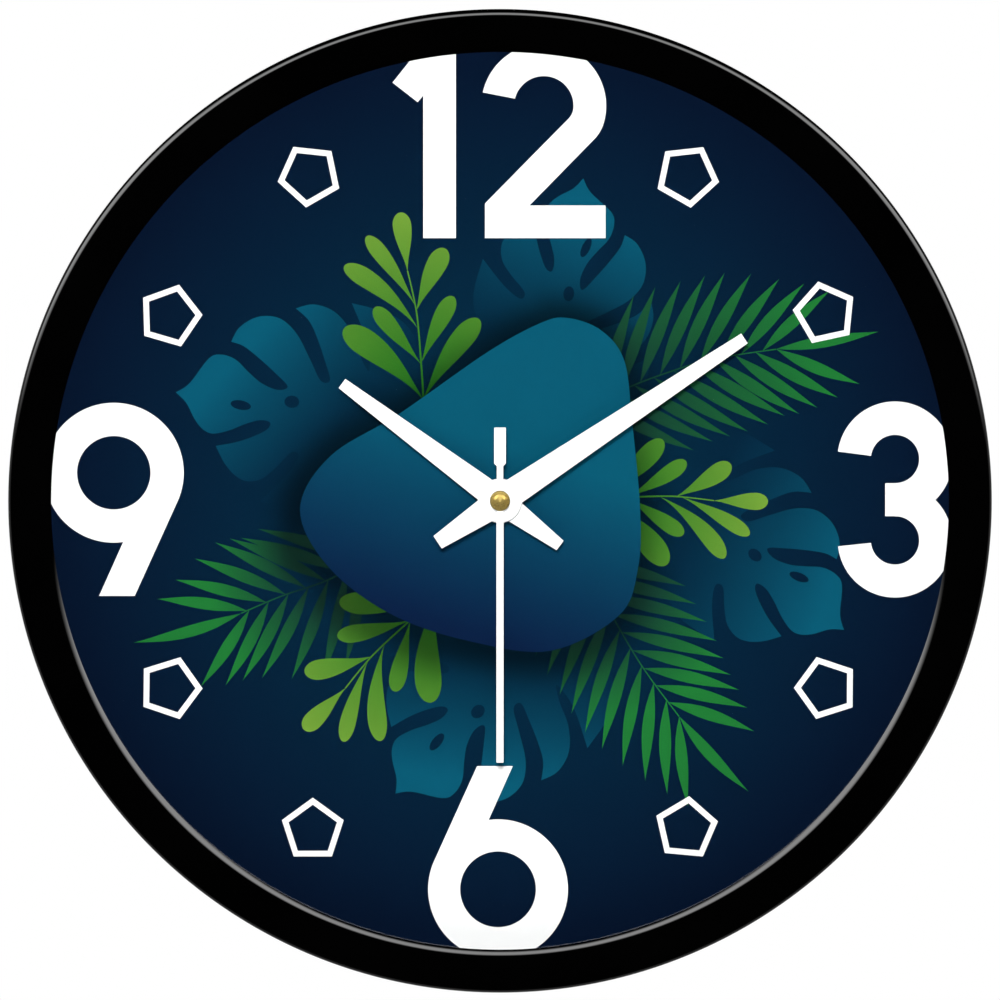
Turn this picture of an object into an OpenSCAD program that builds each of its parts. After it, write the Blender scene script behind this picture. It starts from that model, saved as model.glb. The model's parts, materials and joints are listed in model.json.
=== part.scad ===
// Round quartz wall clock with a glossy frame, a printed dial and three hands.
// Millimetres. The wall is the plane y = 0, the dial faces -Y and +Z is up.
// The origin is on the wall, on the axis that the hands turn about.
//
// Every sub-part is drawn in dial coordinates (x to the right, y up, z out from the wall)
// and is turned into the frame above by face_the_room(). Hand and gear angles run
// anticlockwise from +x in dial coordinates, unless a comment says otherwise.

/* [Frame] */
// Outer diameter of the frame
clock_d = 300; // [290:1:320]
// Depth of the clock from the wall to the front of the frame
clock_depth = 40; // [40:1:46]
// Width of the frame's front face, from its rim to the glass
frame_w = 12.9; // [12.5:0.1:16]
// Thickness of the frame's side wall
skirt_t = 2.8; // [2.4:0.1:3.2]
// Radius that rounds the frame's front outer edge
edge_r = 2.2; // [1:0.1:3]
// Width of the bevel beside the glass
bevel_w = 1.4; // [0.6:0.1:2]
// Depth of the bevel beside the glass
bevel_h = 1.8; // [0.6:0.1:3]

/* [Dial and glass] */
// Thickness of the glass
lens_t = 2; // [1.5:0.1:2.4]
// Thickness of the dial card
dial_t = 1; // [0.6:0.1:1.2]
// Radial width of the ring that holds the glass off the dial
spacer_w = 2.8; // [2:0.1:4]

/* [Hands] */
// Hour hand, from the axis to its tip
hour_len = 60.2; // [45:0.1:75]
// Minute hand, from the axis to its tip
minute_len = 89.7; // [70:0.1:110]
// Second hand, from the axis to its tip
second_len = 80; // [60:0.1:110]
// Length of the tails of the hour and minute hands
tail_len = 22.9; // [15:0.1:30]
// Radius of the hour hand's hub
hub_r = 6.8; // [6.5:0.1:9]
// Thickness of the hour and minute hands
hand_t = 0.6; // [0.3:0.1:0.8]
// Hour hand at rest, in degrees clockwise from 12
hour_at = 306.6; // [0:0.1:360]
// Minute hand at rest, in degrees clockwise from 12
minute_at = 56.4; // [0:0.1:360]
// Second hand at rest, in degrees clockwise from 12
second_at = 180; // [0:0.1:360]

/* [Back] */
// Height of the back plate's rear face above the wall
plate_z = 17; // [17:0.5:18]
// Thickness of the back plate
plate_t = 2; // [1.6:0.1:2]
// Number of screws that hold the back plate
case_screw_count = 6; // [3:1:8]
// Height of the hanger's keyhole above the axis
keyhole_y = 110; // [90:1:112]
// Radius of the keyhole's entry, which takes a screw head
keyhole_r = 4.75; // [3.5:0.05:5.5]
// Width of the keyhole's slot, which takes a screw shank
slot_w = 4.6; // [3:0.1:5]

/* [Movement] */
// Width and height of the movement
movement_w = 56; // [56:1:60]
// Diameter of the cell
cell_d = 14.5; // [13.5:0.1:14.5]
// Length of the cell with its terminal
cell_len = 50.5; // [49:0.1:50.5]

/* [Hidden] */

$fn = 96;
eps = 0.01;

// Colours
gloss_black = [0.03, 0.03, 0.035];
matt_black = [0.12, 0.12, 0.13];
dial_blue = [0.02, 0.16, 0.24];
hand_white = [0.97, 0.97, 0.96];
brass = [0.79, 0.62, 0.25];
steel = [0.68, 0.69, 0.71];
copper = [0.72, 0.38, 0.2];
board_green = [0.1, 0.4, 0.22];
resin_white = [0.92, 0.91, 0.86];
resin_grey = [0.55, 0.57, 0.6];
rubber_black = [0.08, 0.08, 0.08];

// Frame, glass and dial, from the wall outwards
rim_r = clock_d / 2;
lip_r = rim_r - frame_w;
skirt_r = rim_r - skirt_t;
lip_t = 5;
lip_z = clock_depth - lip_t;
boss_r = 2.8;
boss_at = skirt_r - 3;
stack_r = boss_at - boss_r - 0.6;
plate_front = plate_z + plate_t;
dial_front = plate_front + dial_t;
lens_back = lip_z - lens_t;
plate_r = skirt_r - 0.3;

// Screws
screw_r = 1.25;
screw_fit = 0.05;
screw_head_r = 2.7;
screw_head_t = 1.6;
recess_w = 0.6;

// Hanger
hanger_w = 46;
hanger_h = 27;
hanger_t = 1.5;
hanger_z = 1.9;
hanger_y = keyhole_y + 4;
hanger_screw_x = 17;
slot_len = 9;

// Movement case
mov_back = 1;
mov_front = 16;
mov_wall = 1.2;
cover_front = mov_back + 1.2;
front_wall_z = mov_front - mov_wall;
mov_half = movement_w / 2;
bay_y = -19.85;
bay_top = -12.3;
bay_bottom = -27.2;
bay_half = 26.3;
train_bottom = -11.3;
cell_r = cell_d / 2;
cell_z = 7.9;

// Stem, from the movement to the glass
bush_r = 3.9;
bush_front = 22.9;
hour_tube_r = 2.55;
hour_tube_front = 25.3;
minute_tube_r = 1.6;
minute_tube_front = 27.4;
arbor_r = 0.45;
arbor_front = 30;
arbor_back = 2.3;
run_fit = 0.08;
hour_z = 24.3;
minute_z = 26.4;
second_z = 28.6;
second_t = 0.4;
gasket_t = plate_z - mov_front;
washer_t = 0.5;
nut_t = 2.1;
nut_flats = 11;

// Gear train. Each pair is [teeth of the wheel, teeth of the pinion].
pressure_angle = 20;
tooth_thinning = 0.03;
wheel_tip = 0.7;
pinion_tip = 0.9;
wheel_root = 1.2;
pinion_root = 1.05;
wheel_t = 0.6;
rotor_teeth = 12;
intermediate_teeth = 60;
intermediate_pinion_teeth = 10;
second_teeth = 60;
second_pinion_teeth = 8;
third_teeth = 60;
third_pinion_teeth = 8;
centre_teeth = 64;
cannon_teeth = 15;
reduction_teeth = 45;
reduction_pinion_teeth = 12;
hour_teeth = 48;
setting_teeth = 15;

rotor_module = 0.2;
second_module = 0.32;
third_module = 0.33;
motion_module = 0.33;
rotor_reach = centre_distance(rotor_teeth, intermediate_teeth, rotor_module);
intermediate_reach = centre_distance(intermediate_pinion_teeth, second_teeth, second_module);
third_reach = centre_distance(second_pinion_teeth, third_teeth, third_module);
centre_module = 2 * third_reach / (third_pinion_teeth + centre_teeth);
reduction_reach = centre_distance(cannon_teeth, reduction_teeth, motion_module);
setting_reach = centre_distance(setting_teeth, reduction_teeth, motion_module);

intermediate_dir = 150;
rotor_dir = 100;
third_dir = 20;
reduction_dir = 60;
intermediate_at = polar(intermediate_reach, intermediate_dir);
rotor_at = intermediate_at + polar(rotor_reach, rotor_dir);
third_at = polar(third_reach, third_dir);
reduction_at = polar(reduction_reach, reduction_dir);
setting_at = reduction_at + polar(setting_reach, reduction_dir);

second_phase = 0;
intermediate_phase = mesh_phase(second_phase, second_teeth, intermediate_pinion_teeth, intermediate_dir);
rotor_phase = mesh_phase(intermediate_phase, intermediate_teeth, rotor_teeth, rotor_dir);
third_phase = mesh_phase(second_phase, second_pinion_teeth, third_teeth, third_dir);
centre_phase = mesh_phase(third_phase, third_pinion_teeth, centre_teeth, third_dir + 180);
cannon_phase = 0;
reduction_phase = mesh_phase(cannon_phase, cannon_teeth, reduction_teeth, reduction_dir);
hour_phase = mesh_phase(reduction_phase, reduction_pinion_teeth, hour_teeth, reduction_dir + 180);
setting_phase = mesh_phase(reduction_phase, reduction_teeth, setting_teeth, reduction_dir);

// Levels of the train, from the back cover outwards
second_wheel_z = 3.4;
third_wheel_z = 4.8;
intermediate_wheel_z = 6.2;
centre_wheel_z = 7.4;
mid_plate_z = 8.6;
mid_plate_t = 0.6;
reduction_wheel_z = 9.7;
hour_wheel_z = 11.4;

// Motor and electronics
stator_z = 4.2;
lamination_t = 0.8;
magnet_r = 2.2;
stator_hole_r = 2.6;
coil_y = 21.5;
coil_left = -17.5;
coil_right = -3.5;
coil_z = stator_z + 1.5 * lamination_t;
board_z = 9.6;
board_t = 0.8;
board_left = 15;
board_right = 26.2;

function polar(r, a) = [r * cos(a), r * sin(a)];
function centre_distance(n1, n2, m) = (n1 + n2) * m / 2;
function involute(a) = tan(a) * 180 / PI - a;

// Half of a tooth's angle at radius r, on a gear of pitch radius rp and base radius rb
function tooth_half(n, rp, rb, r) =
    90 / n - tooth_thinning / rp * 180 / PI
    + involute(acos(rb / rp)) - involute(acos(rb / max(r, rb)));

// Angle of gear B's first tooth, when gear A's is at phase_a and B lies in direction dir from A
function mesh_phase(phase_a, n_a, n_b, dir) = dir + 180 + 180 / n_b - (phase_a - dir) * n_a / n_b;

// Radii at which a tooth's flank has its corners
function flank_radii(rp, rb, m, tip, root) =
    let (foot = rp - root * m)
    [foot, rb > foot ? rb : foot + 0.3 * m, rp, rp + tip * m];

module gear_outline(n, m, tip, root) {
    rp = n * m / 2;
    rb = rp * cos(pressure_angle);
    radii = flank_radii(rp, rb, m, tip, root);
    polygon([
        for (i = [0 : n - 1], side = [-1, 1], k = [0 : 3])
            let (r = radii[side < 0 ? k : 3 - k])
            polar(r, 360 * i / n + side * tooth_half(n, rp, rb, r))
    ]);
}

module wheel(n, m, phase, bore, holes = 0) {
    rp = n * m / 2;
    rotate(phase)
        linear_extrude(wheel_t)
            difference() {
                gear_outline(n, m, wheel_tip, wheel_root);
                circle(bore);
                if (holes > 0)
                    for (i = [0 : holes - 1])
                        rotate(360 * i / holes)
                            translate([rp * 0.58, 0])
                                circle(rp * 0.22);
            }
}

module pinion(n, m, phase, bore, h) {
    rotate(phase)
        linear_extrude(h)
            difference() {
                gear_outline(n, m, pinion_tip, pinion_root);
                if (bore > 0)
                    circle(bore);
            }
}

module tube(outer, inner, h) {
    linear_extrude(h)
        difference() {
            circle(outer);
            circle(inner);
        }
}

module at(where, z = 0) {
    translate([where[0], where[1], z])
        children();
}

// Dial coordinates to the clock's own frame
module face_the_room() {
    rotate([90, 0, 0])
        children();
}

module round_the_axis(count, radius, z) {
    for (i = [0 : count - 1])
        rotate(360 * i / count)
            translate([radius, 0, z])
                children();
}

module rounded_rectangle(w, h, r) {
    square([w - 2 * r, h], center = true);
    square([w, h - 2 * r], center = true);
    for (x = [-1, 1], y = [-1, 1])
        translate([x * (w / 2 - r), y * (h / 2 - r)])
            circle(r);
}

// A pan-head screw whose head's underside is at z = 0 and whose point is up
module pan_screw(shank) {
    difference() {
        translate([0, 0, -screw_head_t])
            cylinder(r1 = screw_head_r - 0.6, r2 = screw_head_r, h = screw_head_t);
        for (a = [0, 90])
            rotate(a)
                translate([-screw_head_r * 0.6, -recess_w / 2, -screw_head_t - eps])
                    cube([screw_head_r * 1.2, recess_w, screw_head_t * 0.6]);
    }
    cylinder(r = screw_r, h = shank);
}

// ---- Case ----

module bezel_profile() {
    difference() {
        union() {
            translate([skirt_r, 0])
                square([skirt_t, clock_depth - edge_r]);
            translate([lip_r, lip_z])
                square([frame_w - edge_r, lip_t]);
            translate([rim_r - edge_r, clock_depth - edge_r])
                circle(edge_r);
        }
        polygon([
            [lip_r - eps, clock_depth - bevel_h],
            [lip_r + bevel_w, clock_depth + eps],
            [lip_r - eps, clock_depth + eps]
        ]);
    }
}

module bezel() {
    color(gloss_black)
        face_the_room()
            difference() {
                union() {
                    rotate_extrude($fn = 180)
                        bezel_profile();
                    round_the_axis(case_screw_count, boss_at, plate_front)
                        cylinder(r = boss_r, h = lip_z - plate_front + 1, $fn = 32);
                }
                round_the_axis(case_screw_count, boss_at, plate_front - eps)
                    cylinder(r = screw_r + screw_fit, h = 10, $fn = 32);
            }
}

module lens() {
    color([0.8, 0.9, 0.95, 0.3])
        face_the_room()
            translate([0, 0, lens_back])
                cylinder(r = stack_r, h = lens_t, $fn = 180);
}

module dial_spacer_ring() {
    color(matt_black)
        face_the_room()
            translate([0, 0, dial_front])
                tube(stack_r, stack_r - spacer_w, lens_back - dial_front, $fn = 180);
}

module dial() {
    color(dial_blue)
        face_the_room()
            translate([0, 0, plate_front])
                tube(stack_r, bush_r + 0.2, dial_t, $fn = 180);
}

// ---- Back ----

rib_h = 3;
rib_t = 1.6;
rib_ring_r = 100;

module rear_ribs() {
    translate([0, 0, plate_z - rib_h])
        tube(rib_ring_r + rib_t, rib_ring_r, rib_h + eps);
    for (i = [0 : 7])
        rotate(22.5 + 45 * i)
            translate([46, -rib_t / 2, plate_z - rib_h])
                cube([plate_r - 10 - 46, rib_t, rib_h + eps]);
}

// Low walls that stop the movement from turning
module movement_locator() {
    fit = 0.4;
    inner = movement_w + fit;
    translate([0, 0, plate_z - 2.4])
        linear_extrude(2.4 + eps)
            difference() {
                square(inner + 2 * rib_t, center = true);
                square(inner, center = true);
            }
}

module rear_case() {
    color(matt_black)
        face_the_room()
            difference() {
                union() {
                    translate([0, 0, plate_z])
                        cylinder(r = plate_r, h = plate_t, $fn = 180);
                    rear_ribs();
                    movement_locator();
                    for (x = [-1, 1])
                        at([x * hanger_screw_x, hanger_y], hanger_z + hanger_t)
                            cylinder(r = 4, h = plate_z - hanger_z - hanger_t + eps, $fn = 48);
                }
                translate([0, 0, plate_z - 1])
                    cylinder(r = bush_r + 0.2, h = plate_t + 2);
                round_the_axis(case_screw_count, boss_at, plate_z - 1)
                    cylinder(r = screw_r + 0.15, h = plate_t + 2, $fn = 32);
                for (x = [-1, 1])
                    at([x * hanger_screw_x, hanger_y], 0)
                        cylinder(r = screw_r + screw_fit, h = 13, $fn = 32);
            }
}

module case_screws() {
    color(steel)
        face_the_room()
            round_the_axis(case_screw_count, boss_at, plate_z)
                pan_screw(9, $fn = 32);
}

module hanger_plate() {
    color(steel)
        face_the_room()
            translate([0, 0, hanger_z])
                linear_extrude(hanger_t)
                    difference() {
                        translate([0, hanger_y])
                            rounded_rectangle(hanger_w, hanger_h, 5);
                        translate([0, keyhole_y])
                            circle(keyhole_r);
                        translate([-slot_w / 2, keyhole_y])
                            square([slot_w, slot_len]);
                        translate([0, keyhole_y + slot_len])
                            circle(slot_w / 2);
                        for (x = [-1, 1])
                            translate([x * hanger_screw_x, hanger_y])
                                circle(screw_r + 0.15);
                    }
}

module hanger_screws() {
    color(steel)
        face_the_room()
            for (x = [-1, 1])
                at([x * hanger_screw_x, hanger_y], hanger_z)
                    pan_screw(9, $fn = 32);
}

// ---- Movement case and mounting ----

module movement_housing() {
    slot_h = 2.8;
    color(matt_black)
        face_the_room()
            difference() {
                union() {
                    difference() {
                        translate([-mov_half, -mov_half, mov_back])
                            cube([movement_w, movement_w, mov_front - mov_back]);
                        translate([-mov_half + mov_wall, train_bottom, 0])
                            cube([movement_w - 2 * mov_wall, mov_half - mov_wall - train_bottom,
                                front_wall_z]);
                        translate([-mov_half - 1, bay_top, 0])
                            cube([movement_w + 2, mov_half - bay_top + 1, cover_front]);
                        translate([-bay_half, bay_bottom, 0])
                            cube([2 * bay_half, bay_top - bay_bottom, mov_front - 0.8]);
                    }
                    at(reduction_at, front_wall_z - 1.6)
                        cylinder(r = 1.5, h = 1.6 + eps, $fn = 32);
                }
                at(reduction_at, front_wall_z - 1.6 - eps)
                    cylinder(r = arbor_r + run_fit, h = 1.6, $fn = 32);
                translate([0, 0, front_wall_z - 1])
                    cylinder(r = bush_r, h = 3);
                // slots through which the contacts reach the circuit
                for (x = [-bay_half, bay_half - 1])
                    translate([x, bay_top - 1, board_z])
                        cube([1, 3, slot_h]);
            }
}

module movement_cover() {
    well_r = 5;
    cup_h = 0.8;
    color(matt_black)
        face_the_room()
            difference() {
                union() {
                    translate([-mov_half, bay_top, mov_back])
                        cube([movement_w, mov_half - bay_top, cover_front - mov_back]);
                    for (where = [[0, 0], third_at, intermediate_at, rotor_at])
                        at(where, cover_front - eps)
                            cylinder(r = 1.4, h = cup_h, $fn = 32);
                    at(setting_at, cover_front - eps)
                        cylinder(r = well_r + 0.8, h = 1.4, $fn = 48);
                }
                for (where = [[0, 0], third_at, intermediate_at, rotor_at])
                    at(where, arbor_back - 0.4)
                        cylinder(r = arbor_r + run_fit, h = 3, $fn = 32);
                at(setting_at, 0)
                    cylinder(r = well_r, h = cover_front + 0.8, $fn = 48);
                at(setting_at, 0)
                    cylinder(r = 0.95 + run_fit, h = 5, $fn = 32);
            }
}

module middle_plate() {
    color(resin_grey)
        face_the_room()
            translate([0, 0, mid_plate_z])
                linear_extrude(mid_plate_t)
                    difference() {
                        translate([-24, train_bottom + 0.5])
                            square([48, 25 - train_bottom - 0.5]);
                        circle(minute_tube_r + 0.3);
                        for (where = [third_at, intermediate_at, rotor_at, reduction_at])
                            translate(where)
                                circle(arbor_r + run_fit, $fn = 32);
                        translate(setting_at)
                            circle(0.95 + run_fit, $fn = 32);
                    }
}

module threaded_bush() {
    color(brass)
        face_the_room()
            difference() {
                union() {
                    translate([0, 0, front_wall_z])
                        cylinder(r = bush_r, h = bush_front - front_wall_z);
                    translate([0, 0, front_wall_z - 0.8])
                        cylinder(r = 6.5, h = 0.8);
                }
                cylinder(r = hour_tube_r + run_fit, h = bush_front + 1);
            }
}

module mounting_gasket() {
    color(rubber_black)
        face_the_room()
            translate([0, 0, mov_front])
                tube(9, bush_r + 0.2, gasket_t);
}

module nut_washer() {
    color(brass)
        face_the_room()
            translate([0, 0, dial_front])
                tube(6.2, bush_r + 0.05, washer_t);
}

module mounting_nut() {
    color(brass)
        face_the_room()
            translate([0, 0, dial_front + washer_t])
                linear_extrude(nut_t)
                    difference() {
                        circle(nut_flats / 2 / cos(30), $fn = 6);
                        circle(bush_r + 0.03);
                    }
}

// ---- Cell, contacts and circuit ----

module battery() {
    nub_len = 1.3;
    nub_r = 2.7;
    groove = 0.35;
    body_len = cell_len - nub_len;
    color([0.25, 0.42, 0.36])
        face_the_room()
            translate([-cell_len / 2, bay_y, cell_z])
                rotate([0, 90, 0])
                    rotate_extrude()
                        polygon([
                            [0, 0],
                            [cell_r - 2.2, 0],
                            [cell_r - 1.9, groove],
                            [cell_r - groove, groove],
                            [cell_r, 2 * groove],
                            [cell_r, body_len - groove],
                            [cell_r - groove, body_len],
                            [nub_r, body_len],
                            [nub_r, cell_len - 0.2],
                            [nub_r - 0.2, cell_len],
                            [0, cell_len]
                        ]);
}

contact_gap = 0.1;
contact_w = 8;

module positive_contact() {
    sheet = 0.4;
    color(steel)
        face_the_room() {
            translate([bay_half - sheet, bay_y - contact_w / 2, cell_z - contact_w / 2])
                cube([sheet, contact_w, contact_w]);
            translate([cell_len / 2 + contact_gap, bay_y, cell_z])
                rotate([0, 90, 0])
                    cylinder(r = 2, h = bay_half - cell_len / 2 - contact_gap - sheet / 2, $fn = 32);
            // tail that reaches the circuit through the slot
            translate([bay_half - sheet, bay_y + contact_w / 2 - 1, board_z + board_t])
                cube([sheet, -4 - bay_y - contact_w / 2 + 1, 1.5]);
        }
}

module negative_contact() {
    sheet = 0.3;
    tip = -cell_len / 2 - contact_gap;
    color(steel)
        face_the_room() {
            translate([0, bay_y, cell_z - contact_w / 2])
                linear_extrude(contact_w)
                    polygon([
                        [-bay_half, -contact_w / 2],
                        [-bay_half + sheet, -contact_w / 2],
                        [tip, -0.6],
                        [tip, 0.6],
                        [-bay_half + sheet, contact_w / 2],
                        [-bay_half, contact_w / 2],
                        [-bay_half, contact_w / 2 - 1.2],
                        [tip - 1.2 * sheet, 0.5],
                        [tip - 1.2 * sheet, -0.5],
                        [-bay_half, -contact_w / 2 + 1.2]
                    ]);
            // tail that runs along the train's lower wall to the circuit
            translate([-bay_half, bay_y + contact_w / 2 - 1.2, board_z + board_t])
                cube([sheet, train_bottom - bay_y - contact_w / 2 + 1.2 + sheet, 1.5]);
            translate([-bay_half, train_bottom, board_z + board_t])
                cube([bay_half + 17, sheet, 1.5]);
            translate([17 - sheet, train_bottom, board_z + board_t])
                cube([sheet, -4 - train_bottom, 1.5]);
        }
}

module circuit_board() {
    color(board_green)
        face_the_room()
            translate([board_left, -5, board_z])
                difference() {
                    cube([board_right - board_left, 31, board_t]);
                    translate([2, 28, -1])
                        cylinder(r = 0.9, h = 3, $fn = 24);
                }
}

module control_chip() {
    blob_r = 2.6;
    blob_h = 1;
    sphere_r = (blob_r * blob_r + blob_h * blob_h) / (2 * blob_h);
    color(matt_black)
        face_the_room()
            translate([20.5, 8, board_z + board_t])
                intersection() {
                    translate([0, 0, blob_h - sphere_r])
                        sphere(sphere_r);
                    cylinder(r = blob_r + 1, h = blob_h + 1);
                }
}

module quartz_crystal() {
    color(steel)
        face_the_room()
            translate([20.5, 15, board_z + board_t + 1.02])
                rotate([-90, 0, 0]) {
                    cylinder(r = 1, h = 6, $fn = 48);
                    translate([0, 0, -0.5])
                        cylinder(r = 0.8, h = 0.5 + eps, $fn = 48);
                }
}

// ---- Motor ----

bobbin_bore = 1.15;
bobbin_wall = 0.3;
flange_t = 0.6;

module along_coil() {
    translate([coil_left, coil_y, coil_z])
        rotate([0, 90, 0])
            children();
}

module coil_bobbin() {
    len = coil_right - coil_left;
    color(resin_white)
        face_the_room()
            along_coil() {
                tube(bobbin_bore + bobbin_wall, bobbin_bore, len);
                for (z = [0, len - flange_t])
                    translate([0, 0, z])
                        tube(2.9, bobbin_bore, flange_t);
            }
}

module coil_winding() {
    color(copper)
        face_the_room()
            along_coil()
                translate([0, 0, flange_t])
                    tube(2.7, bobbin_bore + bobbin_wall, coil_right - coil_left - 2 * flange_t);
}

module coil_core() {
    color(steel)
        face_the_room()
            translate([coil_left - 4, coil_y - 1, stator_z + lamination_t])
                cube([coil_right - coil_left + 8, 2, lamination_t]);
}

module stator() {
    left = coil_left - 4.5;
    right = coil_right + 4.5;
    leg = 4;
    color(steel)
        face_the_room()
            translate([0, 0, stator_z])
                linear_extrude(lamination_t)
                    difference() {
                        union() {
                            translate([left, 9.2])
                                square([right - left, 7]);
                            for (x = [left, right - leg])
                                translate([x, 12])
                                    square([leg, coil_y + 1.5 - 12]);
                        }
                        translate(rotor_at)
                            circle(stator_hole_r, $fn = 48);
                    }
}

module rotor_magnet() {
    color(steel)
        face_the_room()
            at(rotor_at, 3.4)
                tube(magnet_r, arbor_r, 2.2, $fn = 48);
}

module rotor_pinion() {
    color(resin_white)
        face_the_room()
            at(rotor_at) {
                translate([0, 0, arbor_back])
                    cylinder(r = arbor_r, h = mid_plate_z + mid_plate_t - arbor_back, $fn = 32);
                translate([0, 0, intermediate_wheel_z - 0.4])
                    pinion(rotor_teeth, rotor_module, rotor_phase, 0, wheel_t + 0.8);
            }
}

// ---- Time train ----

module intermediate_wheel() {
    color(resin_white)
        face_the_room()
            at(intermediate_at) {
                translate([0, 0, intermediate_wheel_z])
                    wheel(intermediate_teeth, rotor_module, intermediate_phase, arbor_r, 4, $fn = 32);
                translate([0, 0, 3.2])
                    pinion(intermediate_pinion_teeth, second_module, intermediate_phase, arbor_r, 1.1,
                        $fn = 32);
                translate([0, 0, 4.3 - eps])
                    tube(0.9, arbor_r, intermediate_wheel_z - 4.3 + 2 * eps, $fn = 32);
            }
}

module intermediate_arbor() {
    color(steel)
        face_the_room()
            at(intermediate_at, arbor_back)
                cylinder(r = arbor_r, h = mid_plate_z + mid_plate_t - arbor_back, $fn = 32);
}

module second_wheel() {
    color(resin_white)
        face_the_room() {
            translate([0, 0, second_wheel_z])
                wheel(second_teeth, second_module, second_phase, arbor_r, 5, $fn = 32);
            translate([0, 0, second_wheel_z + wheel_t - eps])
                pinion(second_pinion_teeth, third_module, second_phase, arbor_r, 2, $fn = 32);
        }
}

module second_arbor() {
    color(steel)
        face_the_room()
            translate([0, 0, arbor_back])
                cylinder(r = arbor_r, h = arbor_front - arbor_back, $fn = 32);
}

module third_wheel() {
    color(resin_white)
        face_the_room()
            at(third_at) {
                translate([0, 0, third_wheel_z])
                    wheel(third_teeth, third_module, third_phase, arbor_r, 5, $fn = 32);
                translate([0, 0, third_wheel_z + wheel_t - eps])
                    pinion(third_pinion_teeth, centre_module, third_phase, arbor_r, 2.8, $fn = 32);
            }
}

module third_arbor() {
    color(steel)
        face_the_room()
            at(third_at, arbor_back)
                cylinder(r = arbor_r, h = mid_plate_z + mid_plate_t - arbor_back, $fn = 32);
}

module centre_wheel() {
    color(resin_white)
        face_the_room()
            translate([0, 0, centre_wheel_z])
                wheel(centre_teeth, centre_module, centre_phase, minute_tube_r, 5, $fn = 32);
}

// Three-armed spring washer that lets the hands be set while the train stands still
module friction_spring() {
    color(steel)
        face_the_room()
            translate([0, 0, centre_wheel_z + wheel_t])
                linear_extrude(0.2)
                    difference() {
                        union() {
                            circle(2.4, $fn = 48);
                            for (i = [0 : 2])
                                rotate(120 * i)
                                    translate([0, -0.5])
                                        square([3.8, 1]);
                        }
                        circle(minute_tube_r, $fn = 48);
                    }
}

module cannon_pinion() {
    color(brass)
        face_the_room()
            difference() {
                union() {
                    translate([0, 0, 6.6])
                        cylinder(r = minute_tube_r, h = minute_tube_front - 6.6, $fn = 48);
                    translate([0, 0, reduction_wheel_z - 0.3])
                        pinion(cannon_teeth, motion_module, cannon_phase, 0, wheel_t + 0.6);
                }
                translate([0, 0, 6])
                    cylinder(r = arbor_r + run_fit, h = minute_tube_front, $fn = 32);
            }
}

module reduction_wheel() {
    pivot_back = mid_plate_z + 0.1;
    color(resin_white)
        face_the_room()
            at(reduction_at) {
                translate([0, 0, reduction_wheel_z])
                    wheel(reduction_teeth, motion_module, reduction_phase, arbor_r, 4, $fn = 32);
                translate([0, 0, reduction_wheel_z + wheel_t - eps])
                    pinion(reduction_pinion_teeth, motion_module, reduction_phase, 0, 2.3);
                translate([0, 0, pivot_back])
                    cylinder(r = arbor_r, h = front_wall_z - 0.5 - pivot_back, $fn = 32);
            }
}

module hour_wheel() {
    color(resin_white)
        face_the_room() {
            translate([0, 0, hour_wheel_z])
                wheel(hour_teeth, motion_module, hour_phase, minute_tube_r + run_fit, 0, $fn = 48);
            translate([0, 0, hour_wheel_z])
                tube(hour_tube_r, minute_tube_r + run_fit, hour_tube_front - hour_wheel_z, $fn = 48);
        }
}

module setting_knob() {
    knob_r = 4.5;
    knob_back = 0.4;
    knob_t = 2.4;
    flutes = 20;
    color(resin_grey)
        face_the_room()
            at(setting_at) {
                translate([0, 0, knob_back])
                    difference() {
                        cylinder(r = knob_r, h = knob_t, $fn = 60);
                        for (i = [0 : flutes - 1])
                            rotate(360 * i / flutes)
                                translate([knob_r + 0.15, 0, -1])
                                    cylinder(r = 0.45, h = knob_t + 2, $fn = 16);
                    }
                translate([0, 0, knob_back + knob_t - eps])
                    cylinder(r = 0.95, h = reduction_wheel_z - knob_back - knob_t, $fn = 32);
                translate([0, 0, reduction_wheel_z - 0.3])
                    pinion(setting_teeth, motion_module, setting_phase, 0, wheel_t + 0.6);
            }
}

// ---- Hands ----

// A hand that points to 12, tapering from w at the axis to its tip and to the end of its tail
module hand_outline(len, w, tip_w, tail_w, r) {
    polygon([
        [-w / 2, 0],
        [-tail_w / 2, -tail_len],
        [tail_w / 2, -tail_len],
        [w / 2, 0],
        [tip_w / 2, len],
        [-tip_w / 2, len]
    ]);
    circle(r);
}

hour_bush_r = 3.6;
minute_bush_r = 2.7;
socket_stem_r = 1.3;

module hour_hand() {
    color(hand_white)
        face_the_room()
            rotate(-hour_at)
                translate([0, 0, hour_z])
                    linear_extrude(hand_t)
                        difference() {
                            hand_outline(hour_len, 7.9, 3.5, 3.6, hub_r);
                            circle(hour_bush_r);
                        }
}

module hour_hand_bush() {
    color(brass)
        face_the_room()
            translate([0, 0, hour_z - 1.1])
                tube(hour_bush_r, hour_tube_r, hand_t + 1.1);
}

module minute_hand() {
    color(hand_white)
        face_the_room()
            rotate(-minute_at)
                translate([0, 0, minute_z])
                    linear_extrude(hand_t)
                        difference() {
                            hand_outline(minute_len, 8.6, 3.6, 4.6, hub_r - 0.2);
                            circle(minute_bush_r);
                        }
}

module minute_hand_bush() {
    color(brass)
        face_the_room()
            translate([0, 0, minute_z - 0.7])
                tube(minute_bush_r, minute_tube_r, hand_t + 0.7);
}

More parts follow.
